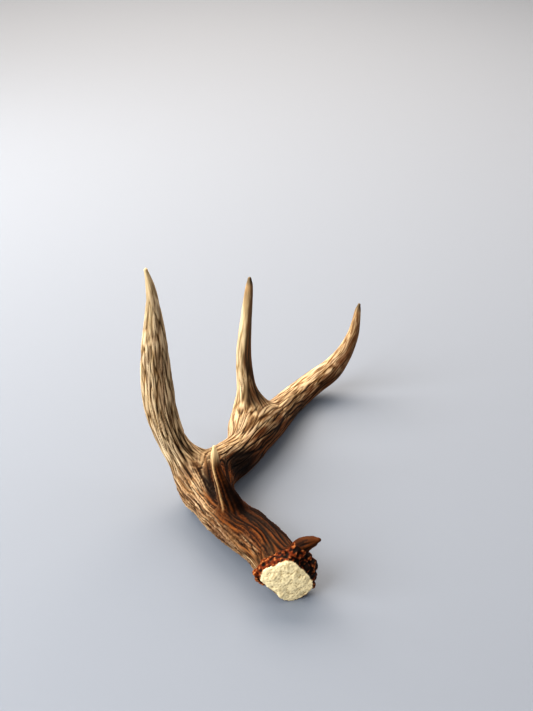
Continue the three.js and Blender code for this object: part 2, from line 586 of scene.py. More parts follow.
SECOND_TINE = Limb(
    stations=(
        Station((-46.5, -51, 22), oval(18, 15)),
        Station((-60.5, -35, 33), oval(17, 14)),
        Station((-72.5, -30, 48), oval(14.8, 12.6)),
        Station((-82, -29, 66), oval(13.6, 11.4)),
        Station((-89.6, -32, 97.6), oval(14.2, 10.2)),
        Station((-91.8, -36, 134.9), oval(14.2, 9.5)),
        Station((-91, -42, 174.6), oval(11.2, 8.3)),
        Station((-89.9, -47, 201.3), oval(8, 7)),
        Station((-89.1, -52, 222.5), oval(5.3, 5)),
        Station((-89.8, -57, 239.8), oval(3.4, 3.3)),
        Station((-91.7, -61, 254), oval(1.6, 1.6)),
    ),
    towards=(0, 1, 0),
    web=30.0,
    web_from=-24.0,
    marks_from=24.0,
)
THIRD_TINE = Limb(
    stations=(
        Station((-13, 38, 20), oval(13, 13)),
        Station((-12.6, 60.5, 37), oval(13.6, 12)),
        Station((-16.1, 70, 65.3), oval(9.4, 8.8)),
        Station((-18.1, 72, 99), oval(7.4, 7.1)),
        Station((-15.2, 72, 138.2), oval(5.7, 5.7)),
        Station((-12.7, 70, 166.3), oval(4.3, 4.3)),
        Station((-11.7, 69, 178), oval(3.2, 3.2)),
        Station((-11.5, 69, 184), oval(1.8, 1.8)),
    ),
    towards=(0, 1, 0),
    web=38.0,
    web_from=-19.0,
    marks_from=22.0,
)
KICKER = Limb(
    stations=(
        Station((29.0, -154, 42), oval(7.5, 6.5)),
        Station((32.8, -155, 48.7), oval(7.4, 6)),
        Station((37.2, -156, 53.4), oval(6.1, 5)),
        Station((42.2, -158, 57.4), oval(4.7, 3.9)),
        Station((46.6, -160, 60.4), oval(2.1, 1.9)),
    ),
    towards=(0, 1, 0),
    web=5.0,
)


# ---------------------------------------------------------------- coronet and shed face


@dataclass(frozen=True)
class Coronet:
    """The ring of bone pearls round the beam's root.

    Args:
        seed: picks the pearls' places.
        count: pearls in each row.
        run: mm along the beam at which each row stands.
        inset: mm by which each row's pearls sit inside the outline.
        size: mean radius of each row's pearls, in mm.
        bulk: how large the pearls are every 30 degrees round the beam, as a share of size.
        stray_round: how far a pearl strays round the beam, as a share of its row's spacing.
        stray_along: how far it strays along the beam, in mm.
        uneven: the most by which its radius differs from what it should be, as a share.
        melt: mm over which a pearl melts into the bone.
        near: mm from the coronet within which its pearls are looked for.
        far: a distance in mm that stands for out of their reach.
    """

    seed: int = 7
    count: tuple[int, ...] = (20, 26, 24)
    run: tuple[float, ...] = (11.2, 7.6, 14.6)
    inset: tuple[float, ...] = (0.9, 1.0, 0.9)
    size: tuple[float, ...] = (3.5, 2.3, 2.0)
    bulk: tuple[float, ...] = (1.1, 1.15, 0.75, 0.7, 0.75, 0.9, 1.1, 0.7, 0.5, 0.55, 0.85, 1.15)
    stray_round: float = 0.3
    stray_along: float = 1.4
    uneven: float = 0.25
    melt: float = 1.3
    near: float = 26.0
    far: float = 50.0

    @cached_property
    def pearls(self) -> tuple[np.ndarray, np.ndarray]:
        """Centres and radii of the pearls, in mm."""
        source = np.random.default_rng(self.seed)
        line = BEAM.line
        ring = np.linspace(0, 360, OUTLINE_POINTS + 1)
        bulk = self.bulk + self.bulk[:1]
        centres = []
        sizes = []
        for count, run, inset, size in zip(self.count, self.run, self.inset, self.size):
            for i in range(count):
                round_beam = i + source.uniform(-self.stray_round, self.stray_round)
                turn = 2 * math.pi * round_beam / count
                along_beam = run + source.uniform(-self.stray_along, self.stray_along)
                spot = np.array([along_beam / line.step])
                radius = outline_radius(BEAM.between(BEAM.waves, spot)[0], turn) - inset
                centre = (
                    BEAM.between(line.centre, spot)[0]
                    + radius * math.cos(turn) * BEAM.between(line.width, spot)[0]
                    + radius * math.sin(turn) * BEAM.between(line.depth, spot)[0]
                )
                share = float(np.interp(math.degrees(turn) % 360, ring, bulk))
                centres.append(centre)
                sizes.append(size * share * source.uniform(1 - self.uneven, 1 + self.uneven))
        return np.array(centres), np.array(sizes)

    def distance(self, points: np.ndarray, reading: Reading) -> np.ndarray:
        """Mm outside the nearest pearl, and a large number far from the coronet.

        Args:
            points: places in mm.
            reading: the same places as the beam sees them.

        Returns:
            Distances in mm.
        """
        centres, sizes = self.pearls
        out = np.full(len(points), self.far)
        close = np.flatnonzero((reading.run < self.near) & (reading.distance < self.near))
        gaps = np.linalg.norm(points[close][:, None] - centres[None], axis=2) - sizes
        out[close] = gaps.min(axis=1)
        return out


@dataclass(frozen=True)
class ShedFace:
    """The rough, slightly domed face where the antler broke off the skull.

    Args:
        crown: mm by which its middle stands proud of its rim.
        rim: mm over which its rim is rounded.
        rim_run: mm along the beam at which its rim lies.
        rows: rows of corners from its middle to its rim.
        skirt: share of the beam's outline out to which the dome goes on falling.
    """

    crown: float = 2.3
    rim: float = 1.2
    rim_run: float = 2.1
    rows: int = 7
    skirt: float = 1.4

    def dome(self) -> tuple[np.ndarray, np.ndarray]:
        """Mm along the beam, and the share of the beam's outline that the face has there."""
        runs = np.linspace(0.0, self.rim_run, self.rows)
        return runs, np.sqrt(1 - (self.rim_run - runs) / self.crown)

    def distance(self, reading: Reading) -> np.ndarray:
        """Mm in front of the face, negative behind it."""
        dome = self.crown * (1 - np.minimum(reading.reach, self.skirt) ** 2)
        return self.rim_run - reading.run - dome

    def cut(self, bone: np.ndarray, reading: Reading) -> np.ndarray:
        """Distances to the bone with everything in front of the face taken off."""
        return -soft_min(-bone, -self.distance(reading), self.rim)


CORONET = Coronet()
SHED_FACE = ShedFace()


# ---------------------------------------------------------------- relief


@dataclass(frozen=True)
class Spot:
    """A single lump or a single dark patch on a limb.

    Args:
        run: mm along the limb of its middle.
        turn: angle of its middle, in degrees.
        reach: mm from its middle to where it has faded, across the limb.
        amount: height in mm of a lump, or how dark a patch is, 0 to 1.
    """

    run: float
    turn: float
    reach: float
    amount: float

    # How much longer a spot is along the limb than across it.
    STRETCH = 1.4

    def at(self, reading: Reading) -> np.ndarray:
        """The lump's height, or the patch's darkness, at each point."""
        girth = np.hypot(reading.flow[:, 0], reading.flow[:, 1])
        aside = np.angle(np.exp(1j * (reading.turn - math.radians(self.turn)))) * girth
        along = (reading.run - self.run) / self.STRETCH
        return self.amount * np.exp(-(along**2 + aside**2) / self.reach**2)


@dataclass(frozen=True)
class Relief:
    """How deep the marks of one limb are, along its length.

    Args:
        furrow: depth in mm of the furrows on its deeply marked side.
        shallow: depth in mm of the furrows on its other side.
        deep_turn: angle, in degrees, of the middle of its deeply marked side.
        edge: where that side ends: 0.5 for half of the limb, more for a narrower side.
        stain_edge: where the dark side ends, in the same way; that side carries painted shade as well as
            stain.
        bead: height in mm of the small beads.
        rib: height in mm of the thin pale ribs.
        fine: depth in mm of the fine grooves.
        stain: how dark the bone is on its dark side, 0 to 1, as stain and as painted shade on the side
            away from the window light.
        pale: how dark it is on its other side, 0 to 1.
        worn: how far it is rubbed smooth and pale, 0 to 1.
        sway: mm by which its furrows wander.
        dye: how far sap has dyed it orange-brown, 0 to 1.
        soot: how black it is along the limb, 0 to 1, to which the patches add.
        keel: height in mm of a single pale ridge along it.
        keel_turn: angle of that ridge, in degrees.
        lumps: single lumps.
        patches: single dark patches; some are painted shade and painted shadow.
    """

    furrow: Ramp
    shallow: Ramp
    deep_turn: Ramp
    edge: Ramp
    stain_edge: Ramp
    bead: Ramp
    rib: Ramp
    fine: Ramp
    stain: Ramp
    pale: Ramp
    worn: Ramp
    sway: Ramp
    dye: Ramp = steady(0)
    soot: Ramp = steady(0)
    keel: Ramp = steady(0)
    keel_turn: Ramp = steady(0)
    lumps: tuple[Spot, ...] = ()
    patches: tuple[Spot, ...] = ()


RELIEFS = {
    "beam": Relief(
        furrow=Ramp((
            (0, 0.8), (20, 1.9), (95, 1.8), (140, 1.25), (230, 1.0),
            (300, 0.8), (380, 0.55), (430, 0.2), (480, 0),
        )),
        shallow=Ramp((
            (0, 0.3), (20, 0.4), (100, 0.35), (160, 0.4),
            (300, 0.35), (400, 0.2), (440, 0.1), (480, 0),
        )),
        deep_turn=Ramp(((0, 20), (90, 15), (150, 0), (250, -15))),
        edge=Ramp(((0, 0.4), (80, 0.42), (120, 0.55), (160, 0.6), (240, 0.66), (480, 0.7))),
        stain_edge=Ramp((
            (0, 0.1), (60, 0.13), (95, 0.2), (130, 0.42), (170, 0.68), (300, 0.78), (480, 0.8),
        )),
        bead=Ramp((
            (0, 0.4), (30, 0.25), (60, 0.45), (110, 0.55), (150, 0.5), (200, 0.2), (300, 0),
        )),
        rib=Ramp(((0, 0), (25, 0.6), (100, 0.6), (150, 0.45), (220, 0.2), (300, 0.15), (420, 0))),
        fine=Ramp((
            (0, 0.2), (20, 0.5), (100, 0.6), (180, 0.6), (300, 0.45), (420, 0.3), (470, 0.05),
        )),
        stain=Ramp(((90, 1.0), (150, 0.95), (300, 0.85), (380, 0.8), (440, 0.7), (480, 0.6))),
        pale=Ramp((
            (0, 0.7), (16, 0.45), (45, 0.25), (100, 0.25),
            (150, 0.12), (230, 0), (400, 0.1), (480, 0.35),
        )),
        worn=Ramp(((450, 0), (480, 0.1))),
        sway=Ramp(((0, 3.4), (100, 3.0), (160, 1.6), (480, 0.9))),
        dye=Ramp(((0, 0.6), (40, 0.9), (90, 1.1), (130, 1.0), (180, 0.8), (300, 0.75), (400, 0.7))),
        soot=Ramp(((470, 0), (477, 0.9))),
        lumps=(Spot(73, 38, 8, 2.0), Spot(40, 15, 6, 0.8)),
        # Among these patches, those at 113 to 139 mm are the brow tine's painted shadow in the gap
        # behind it, on the beam's top, and those at 35, 62 and 88 mm are painted shade on the base's
        # side away from the window light.
        patches=(
            Spot(113, 106, 4.5, 1.0),
            Spot(120, 104, 5.0, 1.0),
            Spot(129, 101, 5.0, 0.85),
            Spot(139, 98, 4.5, 0.6),
            Spot(88, 78, 12, 0.8),
            Spot(178, 32, 15, 0.9),
            Spot(200, 15, 15, 0.8),
            Spot(35, 40, 16, 0.45),
            Spot(62, 45, 18, 0.5),
            Spot(240, 40, 18, 0.35),
            Spot(310, 0, 22, 0.5),
        ),
    ),
    "brow": Relief(
        furrow=Ramp(((0, 1.2), (30, 0.7), (55, 0.4), (70, 0.1), (78, 0.0))),
        shallow=Ramp(((0, 0.5), (30, 0.2), (60, 0.05), (78, 0.0))),
        deep_turn=Ramp(((0, 230), (78, 220))),
        edge=Ramp(((0, 0.4), (78, 0.45))),
        stain_edge=Ramp(((0, 0.25), (78, 0.3))),
        bead=Ramp(((0, 0.4), (40, 0.45), (62, 0.3), (70, 0.0))),
        rib=Ramp(((0, 0.2), (40, 0.1), (60, 0.0))),
        fine=Ramp(((0, 0.3), (60, 0.25), (78, 0.0))),
        stain=Ramp(((60, 1.0), (66, 0.8), (73, 0.3), (78, 0.1))),
        pale=Ramp(((0, 0.9), (30, 0.8), (60, 0.5), (70, 0.0))),
        worn=Ramp(((63, 0), (71, 0.6), (77, 1.0))),
        sway=Ramp(((0, 1.6), (78, 0.8))),
        dye=Ramp(((0, 0.9), (50, 0.7), (66, 0.3), (78, 0.1))),
        keel=Ramp(((18, 0), (26, 1.0), (66, 0.7), (78, 0))),
        keel_turn=Ramp(((0, 322), (24, 318), (48, 303), (78, 300))),
        patches=(Spot(27, 205, 10, 0.9), Spot(40, 225, 7, 0.5)),
    ),
    "second": Relief(
        furrow=Ramp(((0, 1.0), (50, 0.68), (120, 0.5), (180, 0.4), (230, 0.25), (262, 0.0))),
        shallow=Ramp(((0, 0.5), (50, 0.4), (120, 0.4), (180, 0.35), (230, 0.2), (262, 0.0))),
        deep_turn=steady(205),
        edge=Ramp(((0, 0.6), (262, 0.62))),
        stain_edge=Ramp(((0, 0.62), (60, 0.7), (262, 0.72))),
        bead=Ramp(((0, 0.2), (40, 0.1), (80, 0.0))),
        rib=Ramp(((0, 0.4), (50, 0.3), (150, 0.2), (230, 0))),
        fine=Ramp(((0, 0.5), (60, 0.55), (150, 0.55), (230, 0.4), (255, 0.05))),
        stain=Ramp(((0, 0.6), (60, 0.3), (150, 0.4), (200, 0.25), (262, 0.25))),
        pale=Ramp(((0, 0.1), (60, 0.0), (200, 0.05), (225, 0.2), (262, 0.1))),
        worn=Ramp(((190, 0), (235, 0.3), (262, 0.6))),
        sway=Ramp(((0, 1.2), (60, 0.7), (262, 0.4))),
        dye=Ramp(((0, 0.3), (60, 0.2), (200, 0.2), (262, 0.3))),
        patches=(Spot(40, 165, 14, 0.4), Spot(14, 212, 9, 1.0), Spot(2, 215, 8, 1.0)),
    ),
    "third": Relief(
        furrow=Ramp(((0, 1.0), (50, 0.7), (90, 0.55), (130, 0.3), (170, 0.0))),
        shallow=Ramp(((0, 0.4), (50, 0.35), (90, 0.25), (130, 0.15), (160, 0.0))),
        deep_turn=Ramp(((0, 205), (170, 200))),
        edge=Ramp(((0, 0.65), (170, 0.7))),
        stain_edge=Ramp(((0, 0.7), (60, 0.72), (170, 0.72))),
        bead=Ramp(((0, 0.1), (50, 0.0))),
        rib=Ramp(((0, 0.2), (60, 0.2), (120, 0))),
        fine=Ramp(((0, 0.35), (80, 0.35), (130, 0.25), (170, 0.0))),
        stain=Ramp(((0, 0.6), (60, 0.9), (100, 1.0), (140, 1.0), (170, 0.9))),
        pale=Ramp(((0, 0.05), (60, 0.0), (140, 0.0), (150, 0.35), (170, 0.25))),
        worn=Ramp(((0, 0), (80, 0.1), (120, 0.3), (145, 0.35), (165, 0.1))),
        sway=Ramp(((0, 1.0), (60, 0.6), (160, 0.3))),
        dye=Ramp(((0, 0.25), (60, 0.2), (150, 0.2), (170, 0.5))),
        soot=Ramp(((171, 0), (175, 0.9))),
        patches=(Spot(45, 215, 9, 0.6), Spot(75, 205, 9, 0.5)),
    ),
    "kicker": Relief(
        furrow=Ramp(((0, 0.9), (18, 0.7), (26, 0.2))),
        shallow=Ramp(((0, 0.6), (18, 0.4), (26, 0.1))),
        deep_turn=steady(0),
        edge=steady(0.5),
        stain_edge=steady(0),
        bead=Ramp(((0, 0.6), (14, 0.5), (25, 0.2))),
        rib=steady(0),
        fine=Ramp(((0, 0.3), (25, 0.2))),
        stain=steady(1),
        pale=steady(1),
        worn=steady(0),
        sway=steady(1),
        dye=steady(1),
        soot=Ramp(((0, 0.5), (10, 0.3), (18, 0))),
    ),
}


@dataclass(frozen=True)
class Marks:
    """What the relief does at each point of the skin.

    Args:
        lift: mm by which the skin moves outward.
        furrow: how deep in a furrow the point lies, 0 to 1.
        crest: how far up a ridge it lies, 0 to 1.
        peak: how near the top of a broad ridge it lies, 0 to 1.
        rib: how far up a thin pale rib it lies, 0 to 1.
        streak: light and dark along the grain, -1 to 1.
        stain: how dark the bone is, 0 to 1, as stain and as painted shade on the side away from the
            window light.
        dye: how far it is dyed orange-brown, 0 to 1.
        soot: how black it is, 0 to 1: dark tips and stains, and the painted shade and painted shadow of
            the dark patches.
        worn: how far it is rubbed smooth and pale, 0 to 1.
    """

    lift: np.ndarray
    furrow: np.ndarray
    crest: np.ndarray
    peak: np.ndarray
    rib: np.ndarray
    streak: np.ndarray
    stain: np.ndarray
    dye: np.ndarray
    soot: np.ndarray
    worn: np.ndarray


@dataclass(frozen=True)
class Carver:
    """The patterns that mark the bone.  Antler furrows are 4 to 6 mm apart and 30 to 80 mm long.

    Args:
        sway: how furrows wander sideways.
        sway_more: how they wander in depth.
        furrows: the large furrows.
        grooves: the fine grooves between them.
        ribs: the thin raised ribs.
        fibres: streaks of colour along the grain.
        beads: small beads, 1 to 3 mm across.
        swell: slow unevenness of the bone.
        mottle: patches 10 to 25 mm long.
        furrow_width: how wide a furrow is, as a share of the pattern's range.
        groove_width: how wide a fine groove is, in the same way.
        rib_width: how wide a rib is, in the same way.
        keel_width: mm from a keel's top line to where it has faded.
        swell_size: height in mm of the swells.
        full_depth: depth in mm of a furrow that is black.
        shoulder: share of a furrow's depth by which the bone beside it stands up.
        patchy: how far patches move the edge between a limb's two sides.
        deep_blur: half the width of the edge of the deeply marked side.
        stain_blur: half the width of the edge of the dark side.
        widening: depths in mm at which a furrow starts to widen, and is widest.
        rib_patch: values of the patches between which the ribs come up.
        bead_edge: values of the beads' pattern at a bead's foot and at its top.
        speckle_edge: values of it between which a dark speckle fades out.
        dirt_edge: how far down a furrow dirt starts, and is full.
        ridge_edge: values of a furrow's pattern at the foot and the top of the ridge beside it.
        peak_edge: the same for the top line of a broad ridge.
    """

    sway: Grain = Grain(11, (13.0, 13.0, 17.0))
    sway_more: Grain = Grain(12, (13.0, 13.0, 17.0))
    furrows: Grain = Grain(13, (5.2, 5.2, 50.0))
    grooves: Grain = Grain(14, (2.5, 2.5, 34.0))
    ribs: Grain = Grain(19, (4.2, 4.2, 55.0))
    fibres: Grain = Grain(15, (1.25, 1.25, 22.0))
    beads: Grain = Grain(16, (1.9, 1.9, 2.3))
    swell: Grain = Grain(17, (24.0, 24.0, 40.0))
    mottle: Grain = Grain(18, (9.0, 9.0, 26.0))
    furrow_width: float = 0.115
    groove_width: float = 0.1
    rib_width: float = 0.14
    keel_width: float = 1.05
    swell_size: float = 0.9
    full_depth: float = 1.1
    shoulder: float = 0.35
    patchy: float = 0.3
    deep_blur: float = 0.2
    stain_blur: float = 0.14
    widening: tuple[float, float] = (1.1, 1.7)
    rib_patch: tuple[float, float] = (-0.1, 0.12)
    bead_edge: tuple[float, float] = (0.05, 0.35)
    speckle_edge: tuple[float, float] = (-0.05, 0.3)
    dirt_edge: tuple[float, float] = (0.15, 0.75)
    ridge_edge: tuple[float, float] = (0.08, 0.24)
    peak_edge: tuple[float, float] = (0.12, 0.3)

    def carve(self, reading: Reading, relief: Relief) -> Marks:
        """The marks of one limb.

        A factor such as 1 - 0.6 * valley is a share: where valley is 1, 0.4 of the mark is left.

        Args:
            reading: points of the skin as the limb sees them.
            relief: how deep its marks are.

        Returns:
            The marks at each point.
        """
        flow = reading.flow.copy()
        run = reading.run
        wander = relief.sway.at(run)
        flow[:, 0] += wander * self.sway.at(reading.flow)
        flow[:, 1] += wander * self.sway_more.at(reading.flow)
        mottle = self.mottle.at(flow)
        patch = self.patchy * mottle
        side = 0.5 + 0.5 * np.cos(reading.turn - np.radians(relief.deep_turn.at(run)))
        deep = step_up(-self.deep_blur, self.deep_blur, side - relief.edge.at(run) + patch)
        # The dark side is stain, and painted shade where the limb turns away from the window light.
        brown = side - relief.stain_edge.at(run) + 1.2 * patch
        brown = step_up(-self.stain_blur, self.stain_blur, brown)
        depth = relief.furrow.at(run) * deep + relief.shallow.at(run) * (1 - deep)

        # How far each point lies in a furrow, in a fine groove, on a rib, on a bead and on the keel.
        furrow_noise = self.furrows.at(flow)
        groove_noise = self.grooves.at(flow)
        bead_noise = self.beads.at(flow)
        fine_depth = relief.fine.at(run)
        bead_height = relief.bead.at(run)
        rib_height = relief.rib.at(run)
        keel_height = relief.keel.at(run)
        wide = self.furrow_width * (0.7 + 0.3 * deep + 0.65 * step_up(*self.widening, depth))
        valley = np.exp(-((furrow_noise / wide) ** 2))
        groove = np.exp(-((groove_noise / self.groove_width) ** 2))
        rib = np.exp(-((self.ribs.at(flow) / self.rib_width) ** 2))
        rib = rib * step_up(*self.rib_patch, patch)
        rib = rib * (1 - 0.75 * deep) * np.clip(rib_height * 2, 0, 1)
        bead = step_up(*self.bead_edge, bead_noise)
        aside = np.angle(np.exp(1j * (reading.turn - np.radians(relief.keel_turn.at(run)))))
        aside = aside * np.hypot(flow[:, 0], flow[:, 1])
        keel = np.exp(-((aside / self.keel_width) ** 2))
        lift = (
            depth * (self.shoulder - valley)
            - fine_depth * groove * (1 - 0.5 * valley)
            + bead_height * bead * (1 - 0.6 * valley)
            + rib_height * rib
            + keel_height * keel
            + self.swell_size * self.swell.at(flow) * np.clip(depth * 2, 0, 1)
        )
        # Black tips and stains, and the dark patches, some of which are painted shade and painted
        # shadow.
        soot = relief.soot.at(run)
        for spot in relief.patches:
            soot = soot + spot.at(reading)
        for spot in relief.lumps:
            lift = lift + spot.at(reading)

        # What the finish sees of them: dirt lies in furrows, and ridges are rubbed pale, which the
        # finish also uses as a painted highlight on the lit side.
        shade = np.clip(depth / self.full_depth, 0, 1.1)
        fine = np.clip(fine_depth * 2.2, 0, 1)
        speckle = (1 - step_up(*self.speckle_edge, bead_noise)) * np.clip(bead_height * 2, 0, 1)
        dirt = step_up(*self.dirt_edge, valley) * shade + 0.45 * groove * fine + 0.35 * speckle
        crest = 0.5 * step_up(*self.ridge_edge, np.abs(furrow_noise))
        crest = np.clip(crest + 0.6 * step_up(*self.ridge_edge, np.abs(groove_noise)), 0, 1)
        peak = step_up(*self.peak_edge, np.abs(furrow_noise) + 0.25 * groove_noise)
        keel = keel * np.clip(keel_height * 2, 0, 1)
        return Marks(
            lift=lift,
            furrow=np.clip(dirt, 0, 1),
            crest=crest * np.clip(shade * 1.5 + fine, 0, 1) * (1 - 0.7 * valley * shade),
            peak=peak * np.clip(shade + 0.3 * fine, 0, 1),
            rib=np.maximum(rib, keel),
            streak=np.clip(self.fibres.at(flow) * 2.4 + 0.8 * mottle, -1, 1),
            stain=relief.stain.at(run) * brown + relief.pale.at(run) * (1 - brown),
            dye=relief.dye.at(run) * (0.72 + 0.28 * brown) * (1 - keel),
            soot=np.clip(soot, 0, 1),
            worn=relief.worn.at(run) * (1 - 0.7 * brown),
        )


CARVER = Carver()


# ---------------------------------------------------------------- the skin


@dataclass(frozen=True)
class Fork:
    """Where a piece is cut from the next at a fork.

    Args:
        limb: the limb that is cut.
        place: the middle of the cut, in mm.
    """

    limb: Limb
    place: Place

    def run(self) -> float:
        """Mm along the limb at which it is cut."""
        return float(self.limb.spot(np.array([self.place]))[0] * self.limb.line.step)


LIMBS = {
    "beam": BEAM,
    "brow": BROW_TINE,
    "second": SECOND_TINE,
    "third": THIRD_TINE,
    "kicker": KICKER,
}
FORKS = {
    Piece.BROW_TINE: Fork(BROW_TINE, (-25.8, -97, 47.5)),
    Piece.SECOND_TINE: Fork(SECOND_TINE, (-69.5, -31, 44.5)),
    Piece.THIRD_TINE: Fork(THIRD_TINE, (-16.1, 65, 45)),
    Piece.BEAM_MIDDLE: Fork(BEAM, (-32.5, 0, 21)),
    Piece.BEAM_TIP: Fork(BEAM, (16.5, 93, 16.2)),
}


@dataclass
class Skin:
    """The whole antler's surface.

    Args:
        corners: its corners, in mm.
        faces: its faces, four corners each.
    """

    corners: np.ndarray
    faces: np.ndarray

    def normals(self) -> np.ndarray:
        """The direction out of the surface at each corner."""
        ring = self.corners[self.faces]
        flat = np.cross(ring[:, 2] - ring[:, 0], ring[:, 3] - ring[:, 1])
        total = np.zeros_like(self.corners)
        for corner in range(4):
            for axis in range(3):
                total[:, axis] += np.bincount(
                    self.faces[:, corner], weights=flat[:, axis], minlength=len(self.corners)
                )
        return total / np.maximum(np.linalg.norm(total, axis=1), TINY)[:, None]

    def outward(self) -> np.ndarray:
        """The direction out of the surface at each corner, evened out with its neighbours'."""
        out = self.eased(self.normals(), 2)
        return out / np.linalg.norm(out, axis=1)[:, None]

    def eased(self, values: np.ndarray, rounds: int) -> np.ndarray:
        """Values averaged with those of the corners next to each.

        Args:
            values: one row for each corner.
            rounds: how often they are averaged.

        Returns:
            The averaged values.
        """
        starts = self.faces.ravel()
        stops = np.roll(self.faces, -1, axis=1).ravel()
        count = np.bincount(starts, minlength=len(self.corners)) + 1
        for _ in range(rounds):
            total = values.copy()
            for axis in range(values.shape[1]):
                total[:, axis] += np.bincount(
                    starts, weights=values[stops, axis], minlength=len(self.corners)
                )
            values = total / count[:, None]
        return values


@dataclass(frozen=True)
class RootTexture:
    """The broken bone of the shed face, and the knobbly bone of the coronet.

    Args:
        lumps: lumps 5 to 7 mm across on the face.
        grit: grit 1 to 2 mm across on the face.
        knobs: knobs 2 to 4 mm across on the coronet.
        lump_size: height of the lumps in mm.
        grit_size: height of the grit in mm.
        knob_size: height of the knobs in mm.
        lump_push: how far lumps move the face's edge, in mm for a full lump.
        grit_push: how far grit does.
        edge: mm outside and inside the face's edge between which one bone passes into the other.
        coronet_ends: mm along the beam at which the coronet's bone starts to end, and has ended.
        coronet_push: how far lumps move that end.
        root_ends: mm along the beam from which, and past which, neither is found.
        root_reach: mm outside the beam's own surface past which neither is found.
        hollow_depth: depth in mm of a hollow that gets the full painted shade.
        dark_level: how dark the coronet's painted shade is on the middle of its sides, 0 to 1.
        dark_knobs: how much darker that painted shade is between its knobs.
        dark_swing: how much darker it is on the coronet's side away from the window light.
        dark_turn: angle of the middle of that side, in radians.
        pearl_edge: how proud a pearl is where it starts to be pale, and is pale, as rubbed wear and
            painted highlight.
        rubbed: values of the grit's pattern between which it is.
        pit_edge: values of the lumps' pattern between which the face is stained.
        calm_rounds: rounds of averaging that even out what is smaller than 3 mm.
    """

    lumps: Grain = Grain(21, (6.5, 6.5, 6.5))
    grit: Grain = Grain(22, (1.7, 1.7, 1.7))
    knobs: Grain = Grain(23, (3.0, 3.0, 3.0))
    lump_size: float = 1.3
    grit_size: float = 0.7
    knob_size: float = 1.2
    lump_push: float = 2.2
    grit_push: float = 0.9
    edge: tuple[float, float] = (-0.9, 0.7)
    coronet_ends: tuple[float, float] = (11.5, 17.5)
    coronet_push: float = 4.0
    root_ends: tuple[float, float] = (20.0, 40.0)
    root_reach: float = 9.0
    hollow_depth: float = 0.28
    dark_level: float = 0.42
    dark_knobs: float = 4.0
    dark_swing: float = 0.85
    dark_turn: float = -0.1
    pearl_edge: tuple[float, float] = (0.3, 0.85)
    rubbed: tuple[float, float] = (-0.1, 0.3)
    pit_edge: tuple[float, float] = (0.1, 0.5)
    calm_rounds: int = 16
    quick_calm_rounds: int = 6


